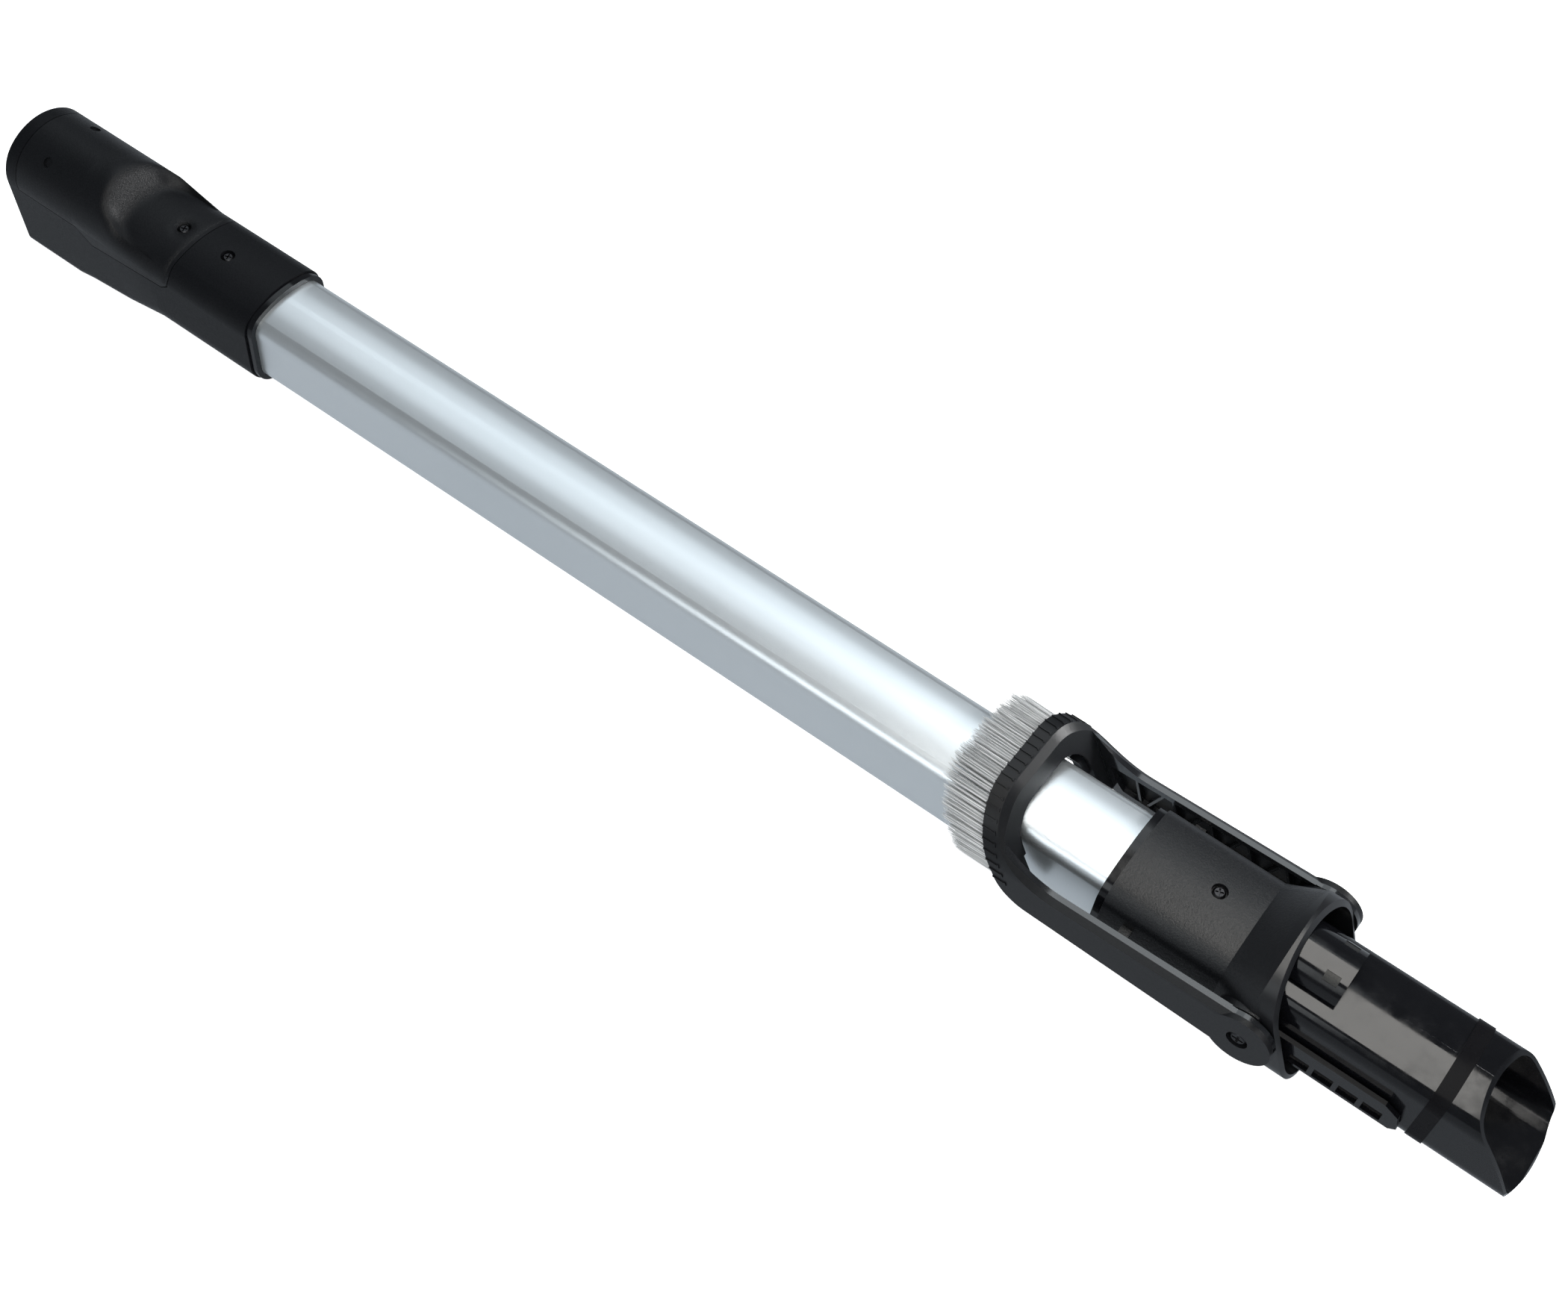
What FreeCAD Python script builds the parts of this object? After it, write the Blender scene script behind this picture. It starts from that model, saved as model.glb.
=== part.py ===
import FreeCAD, Part
import Sketcher
import math
import os
from types import SimpleNamespace
from FreeCAD import Placement, Rotation, Vector

# Vacuum cleaner tube: an oval-topped aluminium tube between a moulded handle-end socket and a
# nozzle-end spigot, with a dusting brush on a fork that folds back over the tube.
# Frame: +X runs along the tube from the handle-end rim to the nozzle mouth, +Z is up,
# and the origin is the tube's own axis in the plane of the handle-end rim. Millimetres.

os.makedirs("parts", exist_ok=True)
doc = FreeCAD.newDocument("VacuumTube")

# Driving dimensions
SIZES = {
    # Tube section: a crowned top arc, two shoulders and two lower corners
    "tube_crown_radius": 42.0,
    "tube_top": 17.3,
    "tube_shoulder_y": 11.0,
    "tube_shoulder_radius": 7.0,
    "tube_low_y": 11.0,
    "tube_low_z": -9.2,
    "tube_low_radius": 7.8,
    "tube_wall": 1.2,
    "tube_stop": 4.0,
    "tube_length": 526.0,
    "seat_gap": 0.1,
    # Handle-end socket section: a nearly round top above a narrower keel
    "socket_crown_radius": 24.0,
    "socket_top": 31.1,
    "socket_shoulder_y": 3.0,
    "socket_shoulder_radius": 18.8,
    "socket_low_y": 14.8,
    "socket_low_z": -20.6,
    "socket_low_radius": 6.2,
    "socket_straight": 44.0,
    "socket_hold": 62.0,
    "socket_blend_end": 84.0,
    "socket_depth": 56.0,
    "housing_end_x": 137.0,
    "housing_wall": 3.2,
    "rim_width": 6.0,
    "cover_end_x": 94.0,
    "cover_gap": 0.35,
    "scoop_x": 59.0,
    "scoop_half": 19.3,
    "scoop_flare": 0.21,
    "scoop_corner": 8.0,
    "scoop_slope": 0.78,
    "dimple_radius": 2.2,
    "dimple_x": 20.5,
    "keel_flat_end": 31.0,
    "keel_step": 1.6,
    # Spigot and the parts that seat on it
    "spigot_grow": 1.0,
    "spigot_wall": 1.6,
    "spigot_clearance": 0.3,
    "mouth_ahead": 119.3,
    "mouth_rake": 27.3,
    "mouth_round": 50.0,
    "band_ahead": 79.5,
    "band_width": 6.0,
    "band_height": 0.5,
    "band_depth": 0.6,
    "tongue_radius": 12.2,
    "tongue_z": 16.5,
    "tongue_wall": 2.0,
    "tongue_low_z": 19.6,
    "tongue_ahead": 39.5,
    "contact_y": 7.3,
    "contact_width": 3.0,
    "contact_length": 5.4,
    "contact_thick": 0.5,
    # Front sleeve, hinge collar and bezel; "ahead" is a distance ahead of the tube's front end
    "trim_length": 3.0,
    "trim_height": 3.9,
    "lip_height": 2.5,
    "sleeve_behind": 42.0,
    "sleeve_ahead": 4.0,
    "sleeve_wall": 4.7,
    "flare_ahead": 18.0,
    "collar_crown_radius": 31.0,
    "collar_top": 33.2,
    "collar_shoulder_y": 6.0,
    "collar_shoulder_radius": 21.6,
    "collar_low_y": 13.6,
    "collar_low_z": -10.0,
    "collar_low_radius": 13.8,
    "collar_wall": 2.1,
    "collar_back_wall": 6.0,
    "face_ahead": 33.2,
    "face_slope": 0.38,
    "bezel_length": 6.5,
    "bezel_chamfer": 1.4,
    "bezel_bevel": 4.0,
    # Hinge of the brush fork
    "pivot_ahead": 19.0,
    "pivot_z": 1.0,
    "boss_radius": 12.6,
    "boss_face_y": 28.1,
    "washer_thick": 0.3,
    "washer_radius": 5.4,
    "hinge_gap": 0.1,
    "ear_radius": 12.3,
    "bush_radius": 2.5,
    "bush_bore": 1.6,
    "ear_web": 1.7,
    "counterbore_radius": 4.0,
    "running_gap": 0.08,
    "pivot_head_radius": 3.4,
    "pivot_head_height": 1.7,
    "pivot_shank_radius": 1.5,
    "pivot_screw_length": 4.9,
    # Brush fork
    "fork_half_width": 32.6,
    "fork_top": 30.2,
    "fork_corner": 22.0,
    "fork_inner_half": 22.2,
    "fork_inner_top": 22.0,
    "fork_inner_corner": 14.0,
    "fork_lean": 0.53,
    "arch_behind": 77.6,
    "arch_length": 8.0,
    "leg_inner_y": 28.2,
    "leg_low_rear": -6.4,
    "leg_top_rear": 8.8,
    "leg_low_front": -8.2,
    "leg_top_front": 12.6,
    "leg_plate": 1.8,
    "leg_flange": 2.4,
    "leg_bevel": 2.1,
    "leg_blend": 32.0,
    "heel_radius": 17.0,
    "lattice_rib": 1.1,
    "lattice_cells": 9,
    "grip_count": 27,
    "grip_pitch": 3.9,
    "grip_height": 0.4,
    "grip_width": 0.5,
    "grip_foot": 1.3,
    "grip_length": 5.4,
    "tab_gap": 0.3,
    "strip_width": 4.4,
    "strip_thick": 2.4,
    "strip_inset": 2.6,
    "bristle_length": 20.0,
    "tuft_count": 31,
    "tuft_pitch": 3.3,
    "tuft_width": 2.9,
    "tuft_flare": 1.12,
    # Side rails
    "rail_face_y": 22.4,
    "rail_thick": 1.8,
    "rail_top_z": 1.2,
    "rail_low_z": -11.5,
    "rail_ahead": 76.5,
    "window_ahead": 35.5,
    "rail_window_pitch": 9.2,
    "rail_window_length": 7.3,
    "rail_window_low": -10.2,
    "rail_window_high": -5.0,
    # Small screws and inner pieces
    "screw_head_radius": 2.4,
    "screw_head_height": 1.5,
    "screw_shank_radius": 1.2,
    "screw_recess_radius": 3.0,
    "screw_recess_depth": 2.1,
    "cover_screw_x": 84.0,
    "housing_screw_x": 109.0,
    "sleeve_screw_behind": 11.7,
    "seal_length": 2.0,
    "channel_half": 6.5,
    "channel_low": 10.4,
    "channel_high": 15.4,
    "channel_wall": 0.8,
    "carrier_x": 32.0,
    "blade_length": 14.0,
}

sheet = doc.addObject("Spreadsheet::Sheet", "Sizes")
for row, (name, value) in enumerate(SIZES.items(), start=1):
    sheet.set(f"A{row}", name)
    sheet.set(f"B{row}", str(value))
    sheet.setAlias(f"B{row}", name)
doc.recompute()
d = SimpleNamespace(**{name: float(getattr(sheet, name)) for name in SIZES})

nodes = []


# Helpers

def spec(prefix):
    """The seven numbers of one rounded section, read from the sheet."""
    keys = ("crown_radius", "top", "shoulder_y", "shoulder_radius", "low_y", "low_z", "low_radius")
    return SimpleNamespace(**{key: getattr(d, f"{prefix}_{key}") for key in keys})


def section_points(section, grow):
    """Centres, radii and the two join angles of a section grown outward by a distance."""
    crown_z = section.top - section.crown_radius
    reach = section.crown_radius - section.shoulder_radius
    shoulder_z = crown_z + math.sqrt(reach ** 2 - section.shoulder_y ** 2)
    crown_angle = math.atan2(shoulder_z - crown_z, section.shoulder_y)
    dy = section.shoulder_y - section.low_y
    dz = shoulder_z - section.low_z
    spread = math.acos((section.low_radius - section.shoulder_radius) / math.hypot(dy, dz))
    side_angle = math.atan2(dz, dy) - spread
    return SimpleNamespace(
        crown=(0.0, crown_z, section.crown_radius + grow),
        shoulder=(section.shoulder_y, shoulder_z, section.shoulder_radius + grow),
        low=(section.low_y, section.low_z, section.low_radius + grow),
        crown_angle=crown_angle,
        side_angle=side_angle,
    )


def on_circle(circle, angle, mirrored=False):
    y = circle[0] + circle[2] * math.cos(angle)
    z = circle[1] + circle[2] * math.sin(angle)
    return (-y if mirrored else y, z)


def section_wire(section, grow, x):
    """Closed outline of a section in the plane at x."""
    p = section_points(section, grow)

    def point(pair):
        return Vector(x, pair[0], pair[1])

    def arc(circle, start, end, mirrored=False):
        middle = (start + end) / 2
        return Part.Arc(
            point(on_circle(circle, start, mirrored)),
            point(on_circle(circle, middle, mirrored)),
            point(on_circle(circle, end, mirrored)),
        ).toShape()

    down = -math.pi / 2
    edges = [arc(p.low, down, p.side_angle)]
    edges.append(Part.makeLine(point(on_circle(p.low, p.side_angle)), point(on_circle(p.shoulder, p.side_angle))))
    edges.append(arc(p.shoulder, p.side_angle, p.crown_angle))
    edges.append(arc(p.crown, p.crown_angle, math.pi - p.crown_angle))
    edges.append(arc(p.shoulder, p.crown_angle, p.side_angle, True))
    edges.append(Part.makeLine(
        point(on_circle(p.shoulder, p.side_angle, True)), point(on_circle(p.low, p.side_angle, True))))
    edges.append(arc(p.low, p.side_angle, down, True))
    edges.append(Part.makeLine(point(on_circle(p.low, down, True)), point(on_circle(p.low, down))))
    return Part.Wire(edges)


def prism(section, grow, start, end):
    """Solid of a section between two planes."""
    return Part.Face(section_wire(section, grow, start)).extrude(Vector(end - start, 0, 0))


def loft(section_a, grow_a, start, section_b, grow_b, end):
    wires = [section_wire(section_a, grow_a, start), section_wire(section_b, grow_b, end)]
    return Part.makeLoft(wires, True, True)


def slab(points, low_y, high_y):
    """Solid of a side-view outline, given as (x, z) pairs, between two y planes."""
    corners = [Vector(x, low_y, z) for x, z in points]
    face = Part.Face(Part.makePolygon(corners + corners[:1]))
    return face.extrude(Vector(0, high_y - low_y, 0))


def cross_cylinder(radius, x, z, y_from, y_to):
    """Cylinder across the tube, its axis along Y."""
    direction = Vector(0, 1 if y_to > y_from else -1, 0)
    return Part.makeCylinder(radius, abs(y_to - y_from), Vector(x, y_from, z), direction)


def origin_plane(body, role):
    for feature in body.Origin.OriginFeatures:
        if feature.Role == role:
            return feature
    raise ValueError(role)


def new_body(label):
    body = doc.addObject("PartDesign::Body", label)
    body.Label = label
    return body


def section_sketch(body, name, prefix, x_formula, grow_formula):
    """Sketch of a section on the body's own cross plane, bound to the sheet."""
    section = spec(prefix)
    p = section_points(section, 0.0)
    sketch = body.newObject("Sketcher::SketchObject", name)
    sketch.AttachmentSupport = [(origin_plane(body, "YZ_Plane"), "")]
    sketch.MapMode = "FlatFace"
    sketch.setExpression(".AttachmentOffset.Base.z", x_formula)
    normal = Vector(0, 0, 1)

    def flat(pair):
        return Vector(pair[0], pair[1], 0)

    def arc(circle, start, end, mirrored=False):
        centre = Vector(-circle[0] if mirrored else circle[0], circle[1], 0)
        if mirrored:
            start, end = math.pi - end, math.pi - start
        return Part.ArcOfCircle(Part.Circle(centre, normal, circle[2]), start, end)

    def line(start, end):
        return Part.LineSegment(flat(start), flat(end))

    down = -math.pi / 2
    geometry = [
        arc(p.low, down, p.side_angle),
        line(on_circle(p.low, p.side_angle), on_circle(p.shoulder, p.side_angle)),
        arc(p.shoulder, p.side_angle, p.crown_angle),
        arc(p.crown, p.crown_angle, math.pi - p.crown_angle),
        arc(p.shoulder, p.side_angle, p.crown_angle, True),
        line(on_circle(p.shoulder, p.side_angle, True), on_circle(p.low, p.side_angle, True)),
        arc(p.low, down, p.side_angle, True),
        line(on_circle(p.low, down, True), on_circle(p.low, down)),
    ]
    sketch.addGeometry(geometry, False)
    for index in range(8):
        sketch.addConstraint(Sketcher.Constraint("Tangent", index, 2, (index + 1) % 8, 1))

    def bind(kind, index, value, formula):
        if kind == "Radius":
            number = sketch.addConstraint(Sketcher.Constraint(kind, index, value))
        else:
            number = sketch.addConstraint(Sketcher.Constraint(kind, -1, 1, index, 3, value))
        sketch.setExpression(f"Constraints[{number}]", formula)

    sheet_name = f"Sizes.{prefix}"
    for index, side in ((0, 1), (6, -1)):
        sign = "" if side > 0 else "-"
        bind("DistanceX", index, side * section.low_y, f"{sign}{sheet_name}_low_y")
        bind("DistanceY", index, section.low_z, f"{sheet_name}_low_z")
        bind("Radius", index, section.low_radius, f"{sheet_name}_low_radius + {grow_formula}")
    for index, side in ((2, 1), (4, -1)):
        sign = "" if side > 0 else "-"
        bind("DistanceX", index, side * section.shoulder_y, f"{sign}{sheet_name}_shoulder_y")
        bind("Radius", index, section.shoulder_radius, f"{sheet_name}_shoulder_radius + {grow_formula}")
    bind("DistanceX", 3, 0.0, "0")
    bind("DistanceY", 3, p.crown[1], f"{sheet_name}_top - {sheet_name}_crown_radius")
    bind("Radius", 3, section.crown_radius, f"{sheet_name}_crown_radius + {grow_formula}")
    return sketch


def pad(body, name, sketch, length_formula):
    feature = body.newObject("PartDesign::Pad", name)
    feature.Profile = sketch
    feature.setExpression("Length", length_formula)
    return feature


def pocket(body, name, sketch, length_formula):
    feature = body.newObject("PartDesign::Pocket", name)
    feature.Profile = sketch
    feature.setExpression("Length", length_formula)
    return feature


def ring_body(label, prefix, start, length, inner, outer):
    """Sleeve between two grown sections, as a body with a pad and a pocket."""
    body = new_body(label)
    pad(body, f"{label}_wall", section_sketch(body, f"{label}_outline", prefix, start, outer), length)
    end = f"{start} + {length}"
    pocket(body, f"{label}_bore", section_sketch(body, f"{label}_bore_outline", prefix, end, inner),
           f"{length} + 1")
    return body


def solid_node(label, shape):
    """Node whose form is a boolean of swept or lofted solids."""
    feature = doc.addObject("Part::Feature", label)
    feature.Label = label
    feature.Shape = shape
    nodes.append(feature)
    return feature


TUBE = spec("tube")
SOCKET = spec("socket")
COLLAR = spec("collar")
FAR = 60.0

# Stations along the tube: its rear end stands on the socket's stop, and the front parts
# are placed from its front end
tube_rear = d.socket_depth + d.tube_stop
tube_end = tube_rear + d.tube_length
REAR = "Sizes.socket_depth + Sizes.tube_stop"
END = f"{REAR} + Sizes.tube_length"
sleeve_x = tube_end - d.sleeve_behind
sleeve_end_x = tube_end + d.sleeve_ahead
flare_x = tube_end + d.flare_ahead
face_x = tube_end + d.face_ahead
pivot_x = tube_end + d.pivot_ahead
rail_front_x = tube_end + d.rail_ahead
mouth_lip_x = tube_end + d.mouth_ahead
band_x = tube_end + d.band_ahead
sleeve_screw_x = tube_end - d.sleeve_screw_behind

# Aluminium tube: one extrusion, open at both ends

nodes.append(ring_body("aluminium_tube", "tube", REAR, "Sizes.tube_length", "-Sizes.tube_wall", "0"))

# Handle-end housing: lower shell with rim and keel, and a scooped top cover

front_grow = d.housing_wall
front_low = TUBE.low_z - TUBE.low_radius - front_grow
keel_low = SOCKET.low_z - SOCKET.low_radius


def raised(lift):
    """The socket section with its lower corners moved up."""
    return SimpleNamespace(**{**vars(SOCKET), "low_z": SOCKET.low_z + lift})


# The keel steps up behind the rim and then runs straight up to the underside of the front part
step_end = d.keel_flat_end + 5 * d.keel_step
hold_rise = (d.socket_hold - step_end) / (d.socket_blend_end - step_end)
stepped = raised(d.keel_step)
held = raised(d.keel_step + (front_low - keel_low - d.keel_step) * hold_rise)
outer = prism(SOCKET, 0, 0, d.keel_flat_end)
outer = outer.fuse(loft(SOCKET, 0, d.keel_flat_end, stepped, 0, step_end))
outer = outer.fuse(loft(stepped, 0, step_end, held, 0, d.socket_hold))
outer = outer.fuse(loft(held, 0, d.socket_hold, TUBE, front_grow, d.socket_blend_end))

housing_top = TUBE.top + front_grow


def scoop_outline(z):
    """Rounded end of the scoop at a height: its rear and side walls lean outward."""
    rise = z - housing_top
    x = d.scoop_x - d.scoop_slope * rise
    reach = d.scoop_half + d.scoop_flare * rise
    radius = d.scoop_corner
    turn = radius * (1 - math.sqrt(0.5))
    end = d.housing_end_x

    def arc(side):
        points = [(x + radius, side * reach), (x + turn, side * (reach - turn)), (x, side * (reach - radius))]
        return Part.Arc(*[Vector(px, py, z) for px, py in points]).toShape()

    lines = [
        ((end, -reach), (x + radius, -reach)), ((x, radius - reach), (x, reach - radius)),
        ((x + radius, reach), (end, reach)), ((end, reach), (end, -reach)),
    ]
    edges = [Part.makeLine(Vector(*start, z), Vector(*finish, z)) for start, finish in lines]
    return Part.Wire(Part.sortEdges(edges + [arc(1), arc(-1)])[0])


scoop = Part.makeLoft([scoop_outline(housing_top - 9), scoop_outline(d.socket_top + 2)], True, True)
outer = outer.cut(scoop)
outer = outer.fuse(prism(TUBE, front_grow, d.socket_straight, d.housing_end_x)).removeSplitter()

bore_grow = d.spigot_grow + d.spigot_clearance
housing_bore = prism(TUBE, bore_grow, -1, d.socket_depth)
housing_bore = housing_bore.fuse(prism(TUBE, -d.tube_wall, d.socket_depth - 1, tube_rear + 1))
housing_bore = housing_bore.fuse(prism(TUBE, d.seat_gap, tube_rear, d.housing_end_x + 1))
recess_radius = d.tongue_radius + d.spigot_clearance
tongue_recess = Part.makeCylinder(
    recess_radius, d.socket_straight + 1, Vector(-1, 0, d.tongue_z), Vector(1, 0, 0))
lip_seat_x = d.housing_end_x - d.trim_length
lip_seat = prism(TUBE, d.lip_height, lip_seat_x, d.housing_end_x + 1)
housing_cut = housing_bore.fuse(tongue_recess).fuse(lip_seat)

# The parting line runs along the widest point of the socket, dips under the scoop
# and turns up over the top in front of the first screw
part_z = d.socket_top - d.socket_crown_radius + 2.6
dip_x = d.socket_straight + 4
low_z = part_z - 6
cover_region = [
    (d.rim_width, FAR), (d.rim_width, part_z), (d.socket_straight - 4, part_z), (dip_x, low_z),
    (dip_x + 13, low_z + 1), (d.cover_end_x - 5, low_z + 2.4), (d.cover_end_x - 1, low_z + 5),
    (d.cover_end_x, low_z + 9), (d.cover_end_x, FAR),
]
region = slab(cover_region, -FAR, FAR)
gap = d.cover_gap


def inside_seam(x, z):
    """A corner of the parting line moved inward by the width of the seam."""
    if x == d.rim_width:
        x += gap
    elif x > d.cover_end_x - 2:
        x -= gap
    return x, z + gap


cover_space = slab([inside_seam(x, z) for x, z in cover_region], -FAR, FAR)


def screw_recess(x, top, sunk):
    """Round recess for a screw head with its clearance hole below it."""
    well = Part.makeCylinder(d.screw_recess_radius, sunk + 5, Vector(x, 0, top - sunk), Vector(0, 0, 1))
    hole = Part.makeCylinder(
        d.screw_shank_radius + 0.1, sunk + 8, Vector(x, 0, top - sunk - 7), Vector(0, 0, 1))
    return well.fuse(hole)


screw_sunk = d.screw_recess_depth
recess_cover = screw_recess(d.cover_screw_x, housing_top, screw_sunk)
recess_housing = screw_recess(d.housing_screw_x, housing_top, screw_sunk)

cover = outer.common(cover_space).cut(housing_cut).cut(recess_cover)
round_z = d.socket_top - d.socket_crown_radius + 3
for side in (-1, 1):
    angle = math.radians(90 - side * 37)
    across = Vector(0, math.cos(angle), math.sin(angle))
    foot = Vector(d.dimple_x, 0, round_z) + across * (d.socket_shoulder_radius + 1.7)
    cover = cover.cut(Part.makeCylinder(d.dimple_radius, 8, foot, across))
solid_node("top_cover", cover)

lower = outer.cut(region).cut(housing_cut).cut(recess_housing)
solid_node("lower_housing", lower)

# Glossy lip that closes the housing round the tube
lip_body = ring_body(
    "housing_lip", "tube", "Sizes.housing_end_x - Sizes.trim_length", "2 * Sizes.trim_length",
    "Sizes.seat_gap", "Sizes.lip_height - Sizes.seat_gap")
nodes.append(lip_body)

# Rubber seal against the socket's end wall
seal_start = "Sizes.socket_depth - Sizes.seal_length"
nodes.append(ring_body(
    "socket_seal", "tube", seal_start, "Sizes.seal_length", "-Sizes.tube_wall",
    "Sizes.spigot_grow + Sizes.spigot_clearance - Sizes.seat_gap"))

# Contact carrier at the end of the tongue recess, with two blade contacts
carrier = Part.makeCylinder(
    recess_radius - d.seat_gap, d.socket_straight - d.carrier_x, Vector(d.carrier_x, 0, d.tongue_z),
    Vector(1, 0, 0))
spigot_roof = prism(TUBE, bore_grow + d.seat_gap, d.carrier_x - 1, d.socket_straight + 1)
carrier = carrier.cut(spigot_roof)
blade_z = d.tongue_low_z + 1
for side in (-1, 1):
    slot = Part.makeBox(
        9, d.contact_width, d.contact_thick,
        Vector(d.carrier_x - 1, side * d.contact_y - d.contact_width / 2, blade_z))
    carrier = carrier.cut(slot)
solid_node("contact_carrier", carrier)
for label, side in (("blade_near", -1), ("blade_far", 1)):
    blade = doc.addObject("Part::Box", label)
    blade.Label = label
    blade.setExpression("Length", "Sizes.blade_length")
    blade.setExpression("Width", "Sizes.contact_width")
    blade.setExpression("Height", "Sizes.contact_thick")
    blade.Placement.Base = Vector(
        d.carrier_x + 8 - d.blade_length, side * d.contact_y - d.contact_width / 2, blade_z)
    nodes.append(blade)

# Wiring channel glued under the crown of the tube
channel_outer = slab([
    (tube_rear + 1, d.channel_low), (tube_end - 1, d.channel_low),
    (tube_end - 1, TUBE.top), (tube_rear + 1, TUBE.top),
], -d.channel_half, d.channel_half)
channel_outer = channel_outer.common(prism(TUBE, -d.tube_wall, tube_rear, tube_end))
wall = d.channel_wall
channel_inner = slab([
    (tube_rear, d.channel_low + wall), (tube_end, d.channel_low + wall),
    (tube_end, d.channel_high - wall), (tube_rear, d.channel_high - wall),
], wall - d.channel_half, d.channel_half - wall)
solid_node("wiring_channel", channel_outer.cut(channel_inner))

# Front sleeve with its glossy trim ring and the seal between tube and spigot

sleeve = prism(TUBE, d.sleeve_wall, sleeve_x, sleeve_end_x)
sleeve = sleeve.cut(prism(TUBE, d.seat_gap, sleeve_x - 1, tube_end))
sleeve = sleeve.cut(prism(TUBE, d.spigot_grow + d.seat_gap, tube_end, sleeve_end_x + 1))
sleeve_top = TUBE.top + d.sleeve_wall
sleeve = sleeve.cut(screw_recess(sleeve_screw_x, sleeve_top, screw_sunk))
catch_z = 4.0
for side in (-1, 1):
    low_y, high_y = sorted((side * 22, side * (d.leg_inner_y - 1.3)))
    sleeve = sleeve.fuse(Part.makeBox(4, high_y - low_y, 2.4, Vector(sleeve_x + 9, low_y, catch_z)))
solid_node("front_sleeve", sleeve.removeSplitter())
nodes.append(ring_body(
    "sleeve_trim", "tube", f"{END} - Sizes.sleeve_behind - Sizes.trim_length", "Sizes.trim_length",
    "Sizes.seat_gap", "Sizes.trim_height"))
nodes.append(ring_body(
    "tube_seal", "tube", END, "Sizes.seal_length",
    "Sizes.spigot_grow - Sizes.spigot_wall", "Sizes.spigot_grow"))

# Spigot that plugs into the nozzle, its oblique mouth, and the soft band round it

spigot_x = tube_end + d.seal_length
spigot = prism(TUBE, d.spigot_grow, spigot_x, mouth_lip_x + 2)
spigot = spigot.cut(prism(TUBE, d.spigot_grow - d.spigot_wall, spigot_x - 1, mouth_lip_x + 3))
mouth_high_z = TUBE.top + d.spigot_grow
mouth_low_z = TUBE.low_z - TUBE.low_radius - d.spigot_grow
mouth_top_x = mouth_lip_x - d.mouth_rake
mouth_curve = Part.Arc(
    Vector(mouth_top_x, -FAR, mouth_high_z),
    Vector(mouth_top_x + 0.57 * d.mouth_rake, -FAR, mouth_high_z - 0.46 * (mouth_high_z - mouth_low_z)),
    Vector(mouth_lip_x, -FAR, mouth_low_z),
).toShape()
mouth_top, mouth_end = mouth_curve.Vertexes[0].Point, mouth_curve.Vertexes[1].Point
beyond = mouth_lip_x + 10
mouth_box = Part.makePolygon([
    mouth_end, mouth_end + Vector(0, 0, -10), Vector(beyond, -FAR, mouth_low_z - 10),
    Vector(beyond, -FAR, mouth_high_z + 10), mouth_top + Vector(0, 0, 10), mouth_top,
])
mouth_cut = Part.Face(Part.Wire([mouth_curve] + mouth_box.Edges)).extrude(Vector(0, 2 * FAR, 0))
spigot = spigot.cut(mouth_cut)
lip_round = Part.makeBox(d.mouth_round, 2 * FAR, 2 * FAR, Vector(mouth_lip_x - 20, -FAR, -FAR))
lip_round = lip_round.cut(Part.makeCylinder(
    d.mouth_round, 2 * FAR, Vector(mouth_lip_x - d.mouth_round, 0, -FAR)))
spigot = spigot.cut(lip_round)
band_end = band_x + d.band_width
band_seat = prism(TUBE, d.spigot_grow + 1, band_x, band_end)
band_seat = band_seat.cut(prism(TUBE, d.spigot_grow - d.band_depth, band_x - 1, band_end + 1))
solid_node("nozzle_spigot", spigot.cut(band_seat))
nodes.append(ring_body(
    "seal_band", "tube", f"{END} + Sizes.band_ahead", "Sizes.band_width",
    "Sizes.spigot_grow - Sizes.band_depth",
    "Sizes.spigot_grow + Sizes.band_height"))

# Hinge collar: flares from the sleeve to a deep opening with a sloping face

beyond = face_x + 30


def behind_plane(x):
    """Everything behind the sloping plane that crosses the tube axis at x."""
    return slab([(sleeve_x, -FAR), (x + d.face_slope * FAR, -FAR), (x - d.face_slope * FAR, FAR),
                 (sleeve_x, FAR)], -FAR, FAR)


collar_outer = loft(TUBE, d.sleeve_wall, sleeve_end_x, COLLAR, 0, flare_x)
collar_outer = collar_outer.fuse(prism(COLLAR, 0, flare_x, beyond))
recess = loft(TUBE, d.sleeve_wall - d.collar_wall, sleeve_end_x, COLLAR, -d.collar_wall, flare_x)
recess = recess.fuse(prism(COLLAR, -d.collar_wall, flare_x, beyond + 1))
recess_x = sleeve_end_x + d.collar_back_wall
recess = recess.cut(Part.makeBox(
    d.collar_back_wall + 1, 2 * FAR, 2 * FAR, Vector(sleeve_end_x - 1, -FAR, -FAR)))
collar_bore = prism(TUBE, d.spigot_grow + d.seat_gap, sleeve_end_x - 1, beyond + 1)
rail_slots = []
for side in (-1, 1):
    low_y, high_y = sorted((side * (d.rail_face_y - d.rail_thick), side * (d.rail_face_y + d.seat_gap)))
    rail_slots.append(slab([
        (recess_x, d.rail_low_z - d.seat_gap), (beyond + 2, d.rail_low_z - d.seat_gap),
        (beyond + 2, d.rail_top_z + d.seat_gap), (recess_x, d.rail_top_z + d.seat_gap),
    ], low_y, high_y))
collar_cut = recess.fuse(collar_bore).fuse(rail_slots[0]).fuse(rail_slots[1])

bosses = [
    cross_cylinder(d.boss_radius, pivot_x, d.pivot_z, side * 15, side * d.boss_face_y) for side in (-1, 1)
]
seam_x = face_x - d.bezel_length
collar = collar_outer.fuse(bosses[0]).fuse(bosses[1]).cut(collar_cut).common(behind_plane(seam_x))
for side in (-1, 1):
    pilot = cross_cylinder(d.pivot_shank_radius + 0.05, pivot_x, d.pivot_z, side * 15, side * 40)
    collar = collar.cut(pilot)
solid_node("hinge_collar", collar)

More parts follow.
